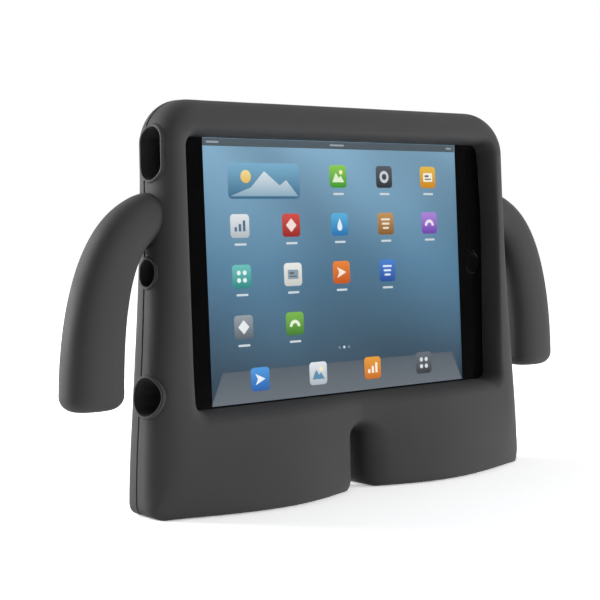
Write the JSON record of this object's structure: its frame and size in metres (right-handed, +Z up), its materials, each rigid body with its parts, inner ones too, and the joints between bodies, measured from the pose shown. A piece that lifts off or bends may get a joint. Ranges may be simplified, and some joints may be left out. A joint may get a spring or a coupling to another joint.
{
  "type": "kids tablet case",
  "caption": "Moulded foam tablet case for children, with an arm-shaped carrying handle at each side and two feet to stand on, holding a small tablet",
  "frame": {"origin": "on the ground under the middle of the whole object", "axes": "+Z up, +X to the right as seen from the front, the screen faces -Y"},
  "size_m": [0.3046, 0.0446, 0.182],
  "materials": {
    "foam": "closed-cell moulded foam with a fine satin skin",
    "glass": "polished cover glass with a black border printed behind it",
    "display": "lit display",
    "shell": "dark anodised",
    "seal": "black gasket",
    "black_plastic": "glossy black",
    "button_metal": "dark anodised",
    "steel": "stamped",
    "board": "circuit board",
    "lens": "coated lens",
    "battery": "foil pouch"
  },
  "bodies": {
    "case_and_tablet": {"foam_case": "foam", "tablet_rear_shell": "shell", "front_glass": "glass", "glass_seal_frame": "seal", "display_panel": "display", "home_button_switch": "steel", "home_button_bracket": "steel", "side_button_board": "board", "volume_button_board": "board", "rear_camera_module": "board", "rear_camera_ring": "steel", "rear_camera_lens": "lens", "front_camera_module": "board", "headphone_jack": "black_plastic", "charge_connector": "steel", "speaker": "black_plastic", "microphone": "steel", "logic_board": "board", "board_screw_1": "steel", "board_screw_2": "steel", "board_screw_3": "steel", "board_screw_4": "steel", "battery_cell_left": "battery", "battery_cell_right": "battery"},
    "home_button": {"home_button": "black_plastic"},
    "sleep_button": {"sleep_button": "button_metal"},
    "volume_up_button": {"volume_up_button": "button_metal"},
    "volume_down_button": {"volume_down_button": "button_metal"},
    "mute_switch": {"mute_switch": "button_metal"}
  },
  "joints": [
    {"name": "home_button_press", "type": "slide", "parent": "case_and_tablet", "child": "home_button", "axis": [0, 0.9982, -0.0593], "range_m": [0, 0.0003], "stiffness_N_per_m": 3000},
    {"name": "sleep_button_press", "type": "slide", "parent": "case_and_tablet", "child": "sleep_button", "axis": [1, 0, 0], "range_m": [0, 0.00035], "stiffness_N_per_m": 3000},
    {"name": "volume_up_press", "type": "slide", "parent": "case_and_tablet", "child": "volume_up_button", "axis": [0, -0.0593, -0.9982], "range_m": [0, 0.0003], "stiffness_N_per_m": 3000},
    {"name": "volume_down_press", "type": "slide", "parent": "case_and_tablet", "child": "volume_down_button", "axis": [0, -0.0593, -0.9982], "range_m": [0, 0.0003], "stiffness_N_per_m": 3000},
    {"name": "mute_switch_slide", "type": "slide", "parent": "case_and_tablet", "child": "mute_switch", "axis": [1, 0, 0], "range_m": [0, 0.0015]}
  ]
}
